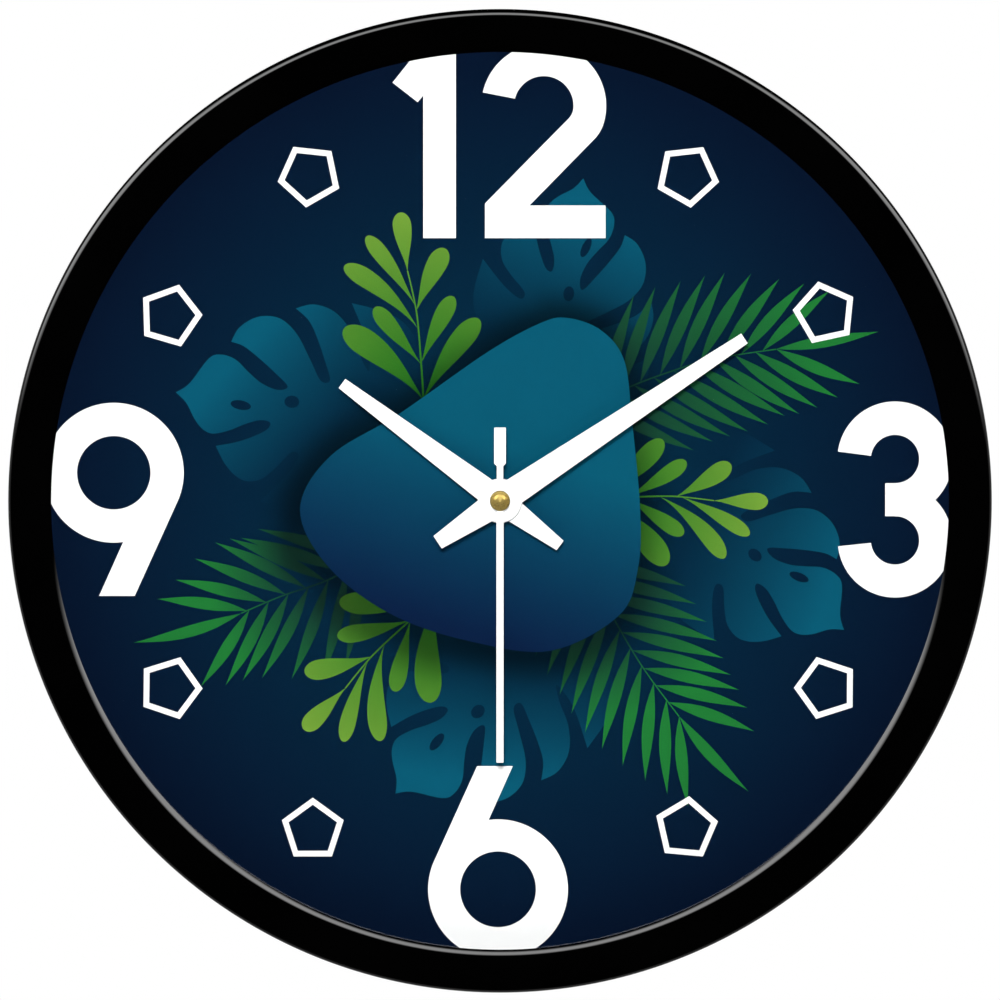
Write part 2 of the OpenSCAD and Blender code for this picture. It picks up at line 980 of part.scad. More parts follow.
module second_hand() {
    pointer_w = 2.2;
    weight_w = 3.6;
    weight_from = 11.4;
    neck = 0.8;
    color(hand_white)
        face_the_room()
            rotate(-second_at)
                translate([0, 0, second_z])
                    linear_extrude(second_t)
                        difference() {
                            union() {
                                translate([-pointer_w / 2, 0])
                                    square([pointer_w, second_len]);
                                polygon([
                                    [-pointer_w / 2 + 0.1, 0],
                                    [-pointer_w / 2 + 0.1, neck - weight_from],
                                    [-weight_w / 2, -weight_from],
                                    [-weight_w / 2, 0.5 - tail_len],
                                    [weight_w / 2, 0.5 - tail_len],
                                    [weight_w / 2, -weight_from],
                                    [pointer_w / 2 - 0.1, neck - weight_from],
                                    [pointer_w / 2 - 0.1, 0]
                                ]);
                                circle(3);
                            }
                            circle(socket_stem_r);
                        }
}

// Brass socket with a domed cap, pressed on the second arbor
module second_hand_socket() {
    cap_r = 3.1;
    color(brass)
        face_the_room()
            difference() {
                rotate_extrude()
                    polygon([
                        [0, second_z - 0.8],
                        [socket_stem_r, second_z - 0.8],
                        [socket_stem_r, second_z + second_t],
                        [cap_r, second_z + second_t],
                        [cap_r, second_z + second_t + 0.7],
                        [cap_r - 0.3, second_z + second_t + 1],
                        [cap_r - 0.9, second_z + second_t + 1.05],
                        [cap_r - 1.1, second_z + second_t + 1.4],
                        [1.2, second_z + second_t + 1.75],
                        [0, second_z + second_t + 1.9]
                    ]);
                translate([0, 0, second_z - 2])
                    cylinder(r = arbor_r, h = arbor_front - second_z + 2, $fn = 32);
            }
}

bezel();
lens();
dial_spacer_ring();
dial();
rear_case();
case_screws();
hanger_plate();
hanger_screws();
movement_housing();
movement_cover();
middle_plate();
threaded_bush();
mounting_gasket();
nut_washer();
mounting_nut();
positive_contact();
negative_contact();
circuit_board();
control_chip();
quartz_crystal();
coil_bobbin();
coil_winding();
coil_core();
stator();
battery();
rotor_magnet();
rotor_pinion();
intermediate_wheel();
intermediate_arbor();
second_wheel();
second_arbor();
second_hand();
second_hand_socket();
third_wheel();
third_arbor();
centre_wheel();
friction_spring();
cannon_pinion();
minute_hand_bush();
minute_hand();
reduction_wheel();
hour_wheel();
hour_hand_bush();
hour_hand();
setting_knob();
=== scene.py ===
"""Looks for a round quartz wall clock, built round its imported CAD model.

Metres throughout, in the CAD model's frame: the wall is y = 0, the dial faces -Y and +Z is up.
The printed dial is drawn in millimetres on the dial's own plane, x to the right and y up, with
the axis of the hands at (0, 0). print_point() turns that into the frame above.
"""
import json
import math

import bpy
import numpy as np
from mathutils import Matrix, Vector
from mathutils.geometry import delaunay_2d_cdt


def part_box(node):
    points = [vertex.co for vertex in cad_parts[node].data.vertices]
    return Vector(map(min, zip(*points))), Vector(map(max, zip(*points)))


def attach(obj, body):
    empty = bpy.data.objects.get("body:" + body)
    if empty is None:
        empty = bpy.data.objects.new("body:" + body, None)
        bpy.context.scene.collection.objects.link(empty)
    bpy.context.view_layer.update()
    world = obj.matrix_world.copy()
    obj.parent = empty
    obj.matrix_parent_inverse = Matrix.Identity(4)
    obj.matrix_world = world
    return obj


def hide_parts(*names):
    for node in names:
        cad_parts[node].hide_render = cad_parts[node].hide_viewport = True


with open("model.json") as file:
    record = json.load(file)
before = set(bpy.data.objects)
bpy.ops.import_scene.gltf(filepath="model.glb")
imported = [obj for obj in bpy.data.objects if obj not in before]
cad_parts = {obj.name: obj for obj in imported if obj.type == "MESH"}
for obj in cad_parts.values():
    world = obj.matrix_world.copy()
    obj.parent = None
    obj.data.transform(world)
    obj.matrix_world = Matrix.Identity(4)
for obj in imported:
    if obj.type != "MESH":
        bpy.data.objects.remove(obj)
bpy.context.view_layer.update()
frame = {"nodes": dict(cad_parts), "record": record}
nodes = frame["nodes"]

MM = 0.001


def radii_of(node):
    """Smallest and largest distance of a CAD node's points from the axis of the hands."""
    reach = [math.hypot(v.co.x, v.co.z) for v in nodes[node].data.vertices]
    return min(reach), max(reach)


dial_front_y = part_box("dial")[0].y
print_edge_r = radii_of("dial_spacer_ring")[0] / MM - 0.2
print_hole_r = radii_of("nut_washer")[1] / MM + 0.2


# ---------------------------------------------------------------- outlines on the dial, in mm

def polar(radius, angle, centre=(0.0, 0.0)):
    """Point at an angle in degrees, anticlockwise from +x."""
    a = math.radians(angle)
    return (centre[0] + radius * math.cos(a), centre[1] + radius * math.sin(a))


def clockwise(radius, angle, centre=(0.0, 0.0)):
    """Point at an angle in degrees, clockwise from 12 o'clock."""
    return polar(radius, 90 - angle, centre)


def arc(centre, radius, start, end, step=0.9):
    """Points along a circle, about step apart, from one angle to another."""
    count = max(3, int(abs(math.radians(end - start)) * radius / step))
    return [polar(radius, start + (end - start) * i / count, centre) for i in range(count + 1)]


def circle(centre, radius, step=0.9):
    return arc(centre, radius, 0, 360, step)[:-1]


def ring_sector(centre, inner, outer, start, end):
    """Part of a ring, between two radii and two angles."""
    return arc(centre, inner, start, end) + arc(centre, outer, end, start)


def spline(points, per_span, closed=False):
    """Catmull-Rom curve through the points."""
    p = np.array(points, float)
    count = len(p)
    spans = count if closed else count - 1
    out = []
    for i in range(spans):
        if closed:
            a, b, c, d = (p[(i + k) % count] for k in (-1, 0, 1, 2))
        else:
            a, b, c, d = (p[min(max(i + k, 0), count - 1)] for k in (-1, 0, 1, 2))
        for j in range(per_span):
            t = j / per_span
            out.append(0.5 * (2 * b + (c - a) * t + (2 * a - 5 * b + 4 * c - d) * t * t
                              + (3 * b - a - 3 * c + d) * t ** 3))
    if not closed:
        out.append(p[-1])
    return [tuple(q) for q in out]


def bent_line(start, end, bend, shares):
    """Points at shares of the way from start to end, on a bow whose middle stands bend to the left."""
    start, end = np.array(start), np.array(end)
    along = end - start
    left = np.array([-along[1], along[0]]) / np.hypot(*along)
    t = shares[:, None]
    return start + along * t + left * bend * 4 * t * (1 - t)


def blade(start, end, half_width, profile, bend, count=14):
    """Outline of a leaf blade, whose half width at each share of its length follows profile."""
    shares = np.sin(0.5 * math.pi * np.linspace(0, 1, count))
    spine = bent_line(start, end, bend, shares)
    heading = np.gradient(spine, axis=0)
    heading /= np.hypot(heading[:, 0], heading[:, 1])[:, None]
    left = np.stack([-heading[:, 1], heading[:, 0]], 1)
    wide = np.array([profile(t) for t in shares])[:, None] * half_width
    one, other = spine + left * wide, spine - left * wide
    return [tuple(q) for q in np.vstack([one, other[-2:0:-1]])]


def lance(t):
    """Palm leaflet: widest at about its middle, with a narrow foot and a long point."""
    return math.sin(math.pi * t ** 0.88) ** 1.15 if 0 < t < 1 else 0.03


def spoon(t):
    """Sprig leaf: widens steadily from its foot, and ends round."""
    widest = 0.78
    if t <= widest:
        return 0.04 + 0.96 * math.sin(0.5 * math.pi * t / widest) ** 1.65
    return math.sqrt(max(0.0, 1 - ((t - widest) / (1 - widest)) ** 2))


class Shape:
    """One printed shape: its outlines, the holes in them, and a colour for every point."""

    def __init__(self, piece, solids, colour, holes=()):
        self.piece = piece
        self.solids = list(solids)
        self.holes = list(holes)
        self.colour = colour


# ---------------------------------------------------------------- colours of the print, sRGB 0-255

TEAL = np.array([12.0, 90.0, 115.0])
NIGHT_MIDDLE = np.array([6.0, 49.0, 71.0])
NIGHT_EDGE = np.array([8.0, 22.0, 45.0])
PEBBLE_LOW = np.array([12.0, 32.0, 66.0])
PALM_NEAR = np.array([23.0, 63.0, 50.0])
PALM_FAR = np.array([34.0, 121.0, 54.0])
SPRIG_NEAR = np.array([30.0, 102.0, 28.0])
SPRIG_FAR = np.array([118.0, 162.0, 59.0])
WHITE = np.array([255.0, 255.0, 255.0])
INK_STRENGTH = 0.765    # of the colours above, so that they come out true under these lamps
WHITE_STRENGTH = 0.92


def mix(a, b, t):
    t = np.clip(t, 0, 1)[:, None]
    return a * (1 - t) + b * t


def night(at):
    """Dark blue ground of the dial, lighter towards the middle."""
    reach = np.hypot(at[:, 0], at[:, 1]) / print_edge_r
    return mix(NIGHT_MIDDLE, NIGHT_EDGE, reach ** 1.3)


def distance_to(outline, at):
    """Distance of each point from a closed outline."""
    a = np.array(outline)
    b = np.roll(a, -1, axis=0)
    best = np.full(len(at), 1e9)
    for p, q in zip(a, b):
        along = q - p
        t = np.clip(((at - p) @ along) / (along @ along), 0, 1)
        best = np.minimum(best, np.hypot(*(at - p - t[:, None] * along).T))
    return best


pebble_outline = spline([
    (-61.2, -2.9), (-52, 13.6), (-30.6, 26.8), (-3.7, 45.6), (12.2, 54.3), (20.5, 56), (30.9, 52.2),
    (38, 43), (40.4, 24.6), (42.9, -2.9), (42.2, -20.8), (36.5, -35), (16, -45.8), (-7, -43.5),
    (-32, -35.4), (-52, -20.8)], closed=True, per_span=9)


def under_pebble(colour, at, strength=0.47, shift=(0.0, -0.8)):
    """Darkens what lies round the pebble, as the soft shadow printed beneath it."""
    softness = 7.2
    moved = at - np.array(shift)
    away = np.where(inside(pebble_outline, moved), 0.0, distance_to(pebble_outline, moved))
    return colour * (1 - strength * np.exp(-(away / softness) ** 2)[:, None])


def ground_colour(at):
    return under_pebble(night(at), at)


def green_colour(near, far, share, at):
    """Colour of the green leaves, on which the pebble's shadow is weaker and falls lower left."""
    return under_pebble(mix(near, far, share), at, strength=0.36, shift=(-3.0, -5.0))


def pebble_colour(at):
    """Teal at the pebble's top, and dark blue at its foot."""
    level_at_axis, slope_x, slope_y = 73.7, 0.30, 0.947
    green = level_at_axis + slope_x * at[:, 0] + slope_y * at[:, 1]
    return mix(PEBBLE_LOW, TEAL, (green - PEBBLE_LOW[1]) / (TEAL[1] - PEBBLE_LOW[1]))


def white_colour(at):
    return np.tile(WHITE, (len(at), 1))


# ---------------------------------------------------------------- numerals and hour markers

def numeral_one():
    return [[(-13.5, 80.4), (-13.5, 141), (-21, 141), (-27.9, 134.3), (-32.9, 128),
             (-25.2, 122), (-23.5, 124), (-23.5, 80.4)]]


def numeral_two():
    bowl = (13.4, 120.9)
    outer = arc(bowl, 19.1, 167.6, -16) + arc(polar(7.6, -16, bowl), 11.5, -16, -44)
    inner = arc(polar(4.1, -5, bowl), 5, -44, -5) + arc(bowl, 9.1, -5, 166)
    foot = [(9, 90.4), (32.3, 90.4), (32.3, 80.4), (-4.6, 80.4), (-4.6, 91)]
    return [outer + foot + inner]


def numeral_three():
    upper = ring_sector((120.9, 12.8), 7.4, 17.6, -90, 172.5)
    lower = ring_sector((120.9, -12.1), 7.4, 17.5, -174, 90)
    middle = [(117.9, -4.7), (121, -4.7), (121, 5.4), (117.9, 5.4)]
    return [upper, lower, middle]


def numeral_six_or_nine(centre, turn, hole_r):
    """A nine, or a six when turn is -1: a ring with a straight tail that leaves it smoothly."""
    tail = [(2.9, -21.2), (-4.5, -37.7), (6.4, -37.7)]
    stroke = tail + arc((0, 0), 21.4, -24.5, -84)
    placed = [(centre[0] + turn * x, centre[1] + turn * y) for x, y in stroke]
    return [circle(centre, 21.4), placed], [circle(centre, hole_r)]


def pentagon(centre, radius, towards):
    return [clockwise(radius, towards + 72 * i, centre) for i in range(5)]


def hour_markers():
    """Eight pentagon outlines: each one's centre, and where its first corner points."""
    places = [
        (57.3, 99.6, 29.7), (99.5, 57.4, 59.7), (99.9, -57.3, 54.4), (57.0, -100.3, 5.2),
        (-57.3, -100.8, 0), (-101, -57.3, 18.7), (-101, 56.6, 16.2), (-58.3, 99.7, 42.2)]
    solids = [pentagon((x, y), 9.95, towards) for x, y, towards in places]
    holes = [pentagon((x, y), 7.8, towards) for x, y, towards in places]
    return solids, holes


# ---------------------------------------------------------------- leaves

class Placement:
    """Moves a shape from its own millimetres (x along its axis, y to the left) to the dial."""

    def __init__(self, origin, heading, scale=1.0, breadth=1.0, mirrored=False):
        a = math.radians(heading)
        self.origin = np.array(origin, float)
        self.x = np.array([math.cos(a), math.sin(a)]) * scale
        self.y = np.array([-math.sin(a), math.cos(a)]) * scale * breadth * (-1 if mirrored else 1)

    def __call__(self, point):
        return tuple(self.origin + point[0] * self.x + point[1] * self.y)

    def back(self, at):
        """The shape's own coordinates of points on the dial."""
        rel = at - self.origin
        return np.stack([rel @ self.x / (self.x @ self.x), rel @ self.y / (self.y @ self.y)], 1)


# A broad leaf, from its tip at (0, 0) round to its tip again. Each run is one smooth curve, and
# two runs meet at the pointed corner of a lobe. The middle of a run is the slit beside that lobe.
BROAD_LEAF = [
    [(0, 0), (4, 3.1), (9.3, 11), (13, 12.5), (17.5, 11.3), (21.7, 7.8), (26, 4.6), (31, 2.9),
     (34, 4.2), (29.7, 8.2), (24.4, 12.4), (19.6, 15.6), (15.8, 16.6)],
    [(15.8, 16.6), (17.8, 20.9), (22, 24.2), (26.5, 25.3), (31.2, 24.3), (36, 20), (40.4, 12.7),
     (44, 6.6), (46.8, 7), (45, 12.4), (41.9, 19.8), (39, 24.8), (34.8, 28.2)],
    [(34.8, 28.2), (40.4, 29.8), (47, 27.8), (52.4, 22), (55.6, 14.8), (58.6, 10.6), (57.5, 19),
     (51.8, 31)],
    [(51.8, 31), (64, 28.4), (71, 23), (73, 14), (68, 3), (66, -8), (56, -24), (42, -33), (28, -31.5)],
    [(28, -31.5), (35.5, -23), (38.8, -17), (36.6, -15.8), (32, -21), (28, -24.6), (23.5, -25.6),
     (19.7, -24), (16.2, -20.4), (13.3, -15.5)],
    [(13.3, -15.5), (19.2, -14), (24.2, -12), (28.6, -9.4), (29.4, -7.2), (26.2, -6.7), (21.8, -8.2),
     (17, -10.5), (12.2, -11.8), (9, -10.7), (6.3, -7.8), (3.4, -3), (0, 0)],
]


def oval(centre, long, short, slant, place):
    """Ellipse of two half axes, in a leaf's own millimetres, placed on the dial."""
    a = math.radians(slant)
    points = []
    for x, y in circle((0, 0), 1, 0.4):
        x, y = x * long, y * short
        points.append(place((centre[0] + x * math.cos(a) - y * math.sin(a),
                             centre[1] + x * math.sin(a) + y * math.cos(a))))
    return points


def broad_leaf(place, eye, lean):
    """A slit leaf with two oval holes: the eye (x, y, slant) and one nearer its base.

    Its colour fades into the ground towards its base, and by lean towards its -y side.
    """
    outline = []
    for run in BROAD_LEAF:
        outline += [place(p) for p in spline(run, per_span=5)[:-1]]
    holes = [oval(eye[:2], 3.2, 1.45, eye[2], place), oval((35.6, -0.4), 2.3, 1.9, 0, place)]
    faded_out, fade_length = 57, 48

    def colour(at):
        x, y = place.back(at).T
        share = np.clip((faded_out - x + lean * y) / fade_length, 0, 1)[:, None]
        return under_pebble(night(at) * (1 - share) + TEAL * share, at)

    return Shape("print_broad_leaves", [outline], colour, holes)


def ribbon(spine, widths):
    """Outline of a line of changing half width along a spine."""
    heading = np.gradient(spine, axis=0)
    left = np.stack([-heading[:, 1], heading[:, 0]], 1)
    left /= np.hypot(left[:, 0], left[:, 1])[:, None]
    wide = np.linspace(*widths, len(spine))[:, None]
    return [tuple(q) for q in np.vstack([spine + left * wide, (spine - left * wide)[::-1]])]


def frond(rachis, firsts, end_leaflet, fade):
    """A palm frond: leaflets in near pairs along a rachis, closing up towards its end leaflet.

    firsts: how far from the rachis's end the first leaflet stands, on the left and on the right.
    end_leaflet: its turn from the rachis's heading, in degrees, and its length.
    fade: how far from its root the frond is at its darkest, and from where it is at its brightest.
    """
    spine = np.array(spline(rachis, per_span=12))
    run = np.concatenate([[0], np.cumsum(np.hypot(*np.diff(spine, axis=0).T))])
    heading = np.degrees(np.arctan2(*np.gradient(spine, axis=0).T[::-1]))
    root = spine[0]

    def colour(at):
        share = (np.hypot(*(at - root).T) - fade[0]) / (fade[1] - fade[0])
        return green_colour(PALM_NEAR, PALM_FAR, share, at)

    leaves = []
    pairs, gap, half_width, bow = 10, 6.45, 1.85, 0.5
    left_side = (1, firsts[0], 34, 13, 1.6)
    right_side = (-1, firsts[1], 31, 22.5, 3.4)
    for side, first, angle, opening, settle in (left_side, right_side):
        for k in range(pairs):
            where = run[-1] - first - gap * k
            if where < 0:
                break
            start = (np.interp(where, run, spine[:, 0]), np.interp(where, run, spine[:, 1]))
            spread = angle + opening * (1 - math.exp(-k / settle))
            turn = np.interp(where, run, heading) + side * spread
            length = 27.8 + 1.15 * min(k, 5)
            leaves.append(blade(start, polar(length, turn, start), half_width, lance, side * bow))
    start = tuple(spine[-1])
    end_turn, end_length = end_leaflet
    end = polar(end_length, heading[-1] + end_turn, start)
    leaves.append(blade(start, end, 1.8, lance, -0.15 * end_turn))
    leaves.append(ribbon(spine, (0.24, 0.17)))
    return [Shape("print_palm_leaves", [leaf], colour) for leaf in leaves]


SPRIG_STEM = [(0, 0), (10, -0.6), (24.5, -1.2), (31.6, -0.9), (40.2, 0)]
SPRIG_LEAVES = [  # foot, end, half width, bend
    ((0.5, 0), (24.8, 21.7), 4.1, -1.9), ((0.5, 0), (22.8, -20), 3.4, 1.2),
    ((11.5, -0.6), (30.3, 11.4), 2.65, 0), ((11.6, -0.7), (30.7, -13), 2.7, 0.5),
    ((22.4, -1), (44, 19.1), 2.9, -1.9), ((27.5, -1.1), (45.5, -12.4), 3.1, 0.6),
    ((29.6, -1), (52.2, 11.2), 2.45, -0.6), ((40, 0), (58.2, 0), 2.85, 0),
]


def sprig(place):
    """A sprig of spoon-shaped leaves, lighter towards its end."""
    def colour(at):
        share = np.hypot(*place.back(at).T) / 58
        return green_colour(SPRIG_NEAR, SPRIG_FAR, share, at)

    shapes = []
    for foot, end, half_width, bend in SPRIG_LEAVES:
        leaf = [place(p) for p in blade(foot, end, half_width, spoon, bend, count=26)]
        shapes.append(Shape("print_sprigs", [leaf], colour))
    stem = ribbon(np.array(spline(SPRIG_STEM, per_span=6)), (0.32, 0.2))
    shapes.append(Shape("print_sprigs", [[place(p) for p in stem]], colour))
    return shapes


def foliage():
    """Every leaf, from the lowest to the topmost."""
    along_eye, across_eye = (20.1, -2.5, -7), (21, 3.7, -22)
    shapes = [
        broad_leaf(Placement((-99.2, 33.2), -4), along_eye, 0.8),
        broad_leaf(Placement((-32, -89.6), 44.2, mirrored=True), along_eye, 0.8),
        broad_leaf(Placement((25.5, 98.7), -96.6, breadth=0.88), across_eye, 0.25),
        broad_leaf(Placement((105.3, -39.5), 139.4, breadth=0.9, mirrored=True), across_eye, 0.25),
    ]
    shapes += frond([(26.6, 28.6), (40, 35), (52.6, 39.7), (65, 43.4), (84.5, 46.4)],
                    (4.2, 0.0), (1.3, 32), (16, 74))
    shapes += frond([(-37, -14.8), (-51.5, -23.7), (-66.7, -29.1), (-79.2, -34.4)],
                    (2.7, 2.0), (-8, 34.2), (28, 54))
    shapes += frond([(22.9, -14.6), (30.5, -28.4), (42.8, -49.6), (54.8, -66)],
                    (5.4, 0.0), (6.2, 31.4), (28, 54))
    shapes += sprig(Placement((-23.4, 30.5), 97.0))
    shapes += sprig(Placement((28.5, 0.7), -1, scale=0.92, mirrored=True))
    shapes += sprig(Placement((-18.9, -28.9), 225))
    return shapes


def dial_shapes():
    """The whole print, from the lowest shape to the topmost."""
    middle = circle((0, 0), print_hole_r)
    ground = Shape("print_ground", [circle((0, 0), print_edge_r)], ground_colour)
    pebble = Shape("print_pebble", [pebble_outline], pebble_colour)
    numerals = [Shape("print_numerals", [outline], white_colour)
                for outline in numeral_one() + numeral_two() + numeral_three()]
    for centre, turn, hole_r in (((-118.2, 8.6), 1, 11.25), ((-0.6, -118.9), -1, 11.6)):
        solids, holes = numeral_six_or_nine(centre, turn, hole_r)
        numerals.append(Shape("print_numerals", solids, white_colour, holes))
    solids, holes = hour_markers()
    markers = Shape("print_hour_markers", solids, white_colour, holes)
    return [ground] + foliage() + [pebble] + numerals + [markers], middle


# ---------------------------------------------------------------- the print as meshes

def inside(outline, at):
    """Which points lie in an outline, by counting crossings."""
    p = np.array(outline)
    found = np.zeros(len(at), bool)
    near = np.all((at >= p.min(0)) & (at <= p.max(0)), axis=1)
    x, y = at[near].T
    odd = np.zeros(len(x), bool)
    for (x0, y0), (x1, y1) in zip(p, np.roll(p, -1, axis=0)):
        if y0 == y1:
            continue
        crosses = (y0 > y) != (y1 > y)
        odd ^= crosses & (x < x0 + (y - y0) * (x1 - x0) / (y1 - y0))
    found[near] = odd
    return found


def print_point(x, y, height):
    """A point on the dial's plane, height millimetres above the card, in the clock's frame."""
    return (x * MM, dial_front_y - height * MM, y * MM)


def linear(srgb):
    c = np.clip(srgb / 255, 0, 1)
    return np.where(c <= 0.04045, c / 12.92, ((c + 0.055) / 1.055) ** 2.4)


def cut_plane(outlines):
    """Points and triangles of the print's plane, cut along every outline.

    A grid of points in between lets a colour change smoothly across a wide shape.
    """
    points, edges = [], []
    for outline in outlines:
        first = len(points)
        points += [Vector(p) for p in outline]
        edges += [(first + i, first + (i + 1) % len(outline)) for i in range(len(outline))]
    pitch, edge_gap = 2.0, 0.8
    row_gap = pitch * 0.866
    rows = int(print_edge_r / row_gap)
    for j in range(-rows, rows + 1):
        for i in range(-rows - 8, rows + 9):
            x = (i + 0.5 * (j % 2)) * pitch
            y = j * row_gap
            if math.hypot(x, y) < print_edge_r - edge_gap:
                points.append(Vector((x, y)))
    verts, _, faces, *_ = delaunay_2d_cdt(points, edges, [], 0, 1e-4)
    return np.array([tuple(v) for v in verts]), np.array([f for f in faces if len(f) == 3])


def topmost_shape(shapes, at):
    """Which shape lies topmost at each point, or -1 where nothing is printed."""
    owner = np.full(len(at), -1)
    for k, shape in enumerate(shapes):
        covers = np.zeros(len(at), bool)
        for outline in shape.solids:
            covers |= inside(outline, at)
        for outline in shape.holes:
            covers &= ~inside(outline, at)
        owner[covers] = k
    reach = np.hypot(*at.T)
    owner[(reach > print_edge_r) | (reach < print_hole_r)] = -1
    return owner


def boundary_walls(tri, owner, count):
    """Side walls of a plate cut from triangles, with the shape that each wall belongs to."""
    seen = {}
    for f, who in zip(tri, owner):
        for a, b in ((f[0], f[1]), (f[1], f[2]), (f[2], f[0])):
            seen[(a, b)] = who
    walls, wall_owner = [], []
    for (a, b), who in seen.items():
        if (b, a) not in seen:
            walls.append((b, a, a + count, b + count))
            wall_owner.append(who)
    return walls, np.array(wall_owner)


def ink_plate(name, place, tri, owner, shapes):
    """Thin plate of ink: triangles over the points in place, each in its own shape's colour."""
    thickness = 0.04
    count = len(place)
    ab = place[tri[:, 1]] - place[tri[:, 0]]
    ac = place[tri[:, 2]] - place[tri[:, 0]]
    flipped = ab[:, 0] * ac[:, 1] - ab[:, 1] * ac[:, 0] < 0
    tri[flipped] = tri[flipped][:, ::-1]
    top = [print_point(x, y, thickness) for x, y in place]
    low = [print_point(x, y, 0.0) for x, y in place]
    walls, wall_owner = boundary_walls(tri, owner, count)
    all_faces = [tuple(f) for f in tri] + [tuple(f[::-1] + count) for f in tri] + walls
    mesh = bpy.data.meshes.new(name)
    mesh.from_pydata(top + low, [], all_faces)
    ink = mesh.color_attributes.new("ink", "FLOAT_COLOR", "CORNER")
    face_owner = np.concatenate([owner, owner, wall_owner]).astype(int)
    corner_owner = np.repeat(face_owner, [len(f) for f in all_faces])
    corner_vert = np.concatenate([np.array(f) for f in all_faces]) % count
    rgba = np.ones((len(corner_vert), 4), np.float32)
    for k in np.unique(corner_owner):
        pick = corner_owner == k
        strength = WHITE_STRENGTH if shapes[k].colour is white_colour else INK_STRENGTH
        rgba[pick, :3] = linear(shapes[k].colour(place[corner_vert[pick]])) * strength
    ink.data.foreach_set("color", rgba.ravel())
    mesh.validate()
    obj = bpy.data.objects.new(name, mesh)
    bpy.context.scene.collection.objects.link(obj)
    return obj


def build_print():
    """Every printed piece, made of the parts of the plane where its own shapes lie topmost."""
    shapes, middle = dial_shapes()
    outlines = [middle]
    for shape in shapes:
        outlines += shape.solids + shape.holes
    at, tri = cut_plane(outlines)
    owner = topmost_shape(shapes, at[tri].mean(1))
    made = []
    for piece in dict.fromkeys(shape.piece for shape in shapes):
        mine = [k for k, shape in enumerate(shapes) if shape.piece == piece]
        chosen = np.isin(owner, mine)
        used, remapped = np.unique(tri[chosen], return_inverse=True)
        made.append(ink_plate(piece, at[used], remapped.reshape(-1, 3), owner[chosen], shapes))
    return made


# ---------------------------------------------------------------- lathe and mesh helpers

def lathe(name, profile, steps, second):
    """Solid of revolution about the axis of the hands. profile is (radius, height off the wall), mm.

    Faces that start at the profile points listed in second take the object's second material.
    """
    smooth_angle = 35
    verts, faces = [], []
    count = len(profile)
    for i in range(steps):
        a = 2 * math.pi * i / steps
        for r, z in profile:
            verts.append((r * MM * math.sin(a), -z * MM, r * MM * math.cos(a)))
    for i in range(steps):
        j = (i + 1) % steps
        for k in range(count):
            m = (k + 1) % count
            faces.append((i * count + k, i * count + m, j * count + m, j * count + k))
    mesh = bpy.data.meshes.new(name)
    mesh.from_pydata(verts, [], faces)
    mesh.polygons.foreach_set("use_smooth", [True] * len(faces))
    mesh.polygons.foreach_set("material_index", [int(k in second) for k in range(count)] * steps)
    mesh.set_sharp_from_angle(angle=math.radians(smooth_angle))
    mesh.validate()
    obj = bpy.data.objects.new(name, mesh)
    bpy.context.scene.collection.objects.link(obj)
    return obj


def soften_edges(node, width):
    """Welds a CAD node's split points and rounds its sharp edges, by modifiers only."""
    segments, sharp_angle = 2, 35
    obj = nodes[node]
    weld = obj.modifiers.new("weld", "WELD")
    weld.merge_threshold = 1e-6
    bevel = obj.modifiers.new("bevel", "BEVEL")
    bevel.width = width * MM
    bevel.segments = segments
    bevel.limit_method = "ANGLE"
    bevel.angle_limit = math.radians(sharp_angle)
    bevel.harden_normals = False


# ---------------------------------------------------------------- materials

def new_material(name):
    material = bpy.data.materials.new(name)
    material.use_nodes = True
    tree = material.node_tree
    shader = tree.nodes["Principled BSDF"]
    return material, tree, shader


def noise(tree, scale, detail=3.0, distortion=0.0):
    where = tree.nodes.new("ShaderNodeTexCoord")
    tex = tree.nodes.new("ShaderNodeTexNoise")
    tex.inputs["Scale"].default_value = scale
    tex.inputs["Detail"].default_value = detail
    tex.inputs["Distortion"].default_value = distortion
    tree.links.new(where.outputs["Object"], tex.inputs["Vector"])
    return tex


def ranged(tree, source, low, high):
    """Maps a 0-1 value to low-high."""
    node = tree.nodes.new("ShaderNodeMapRange")
    node.inputs["To Min"].default_value = low
    node.inputs["To Max"].default_value = high
    tree.links.new(source, node.inputs["Value"])
    return node.outputs["Result"]


def add_bump(tree, shader, height, strength, distance):
    bump = tree.nodes.new("ShaderNodeBump")
    bump.inputs["Strength"].default_value = strength
    bump.inputs["Distance"].default_value = distance
    tree.links.new(height, bump.inputs["Height"])
    tree.links.new(bump.outputs["Normal"], shader.inputs["Normal"])


def two_tone(tree, shader, source, dark, light):
    ramp = tree.nodes.new("ShaderNodeValToRGB")
    ramp.color_ramp.elements[0].color = (*dark, 1)
    ramp.color_ramp.elements[0].position = 0.3
    ramp.color_ramp.elements[1].color = (*light, 1)
    ramp.color_ramp.elements[1].position = 0.7
    tree.links.new(source, ramp.inputs["Fac"])
    tree.links.new(ramp.outputs["Color"], shader.inputs["Base Color"])


def plastic(name, dark, light, rough, grain, grain_depth, specular=0.5):
    """Moulded plastic: slight mottling, and a fine spark-eroded grain in its height."""
    material, tree, shader = new_material(name)
    shader.inputs["Specular IOR Level"].default_value = specular
    cloud = noise(tree, 60, 4)
    two_tone(tree, shader, cloud.outputs["Fac"], dark, light)
    fine = noise(tree, grain, 2)
    tree.links.new(ranged(tree, cloud.outputs["Fac"], rough[0], rough[1]), shader.inputs["Roughness"])
    add_bump(tree, shader, fine.outputs["Fac"], 0.35, grain_depth)
    return material


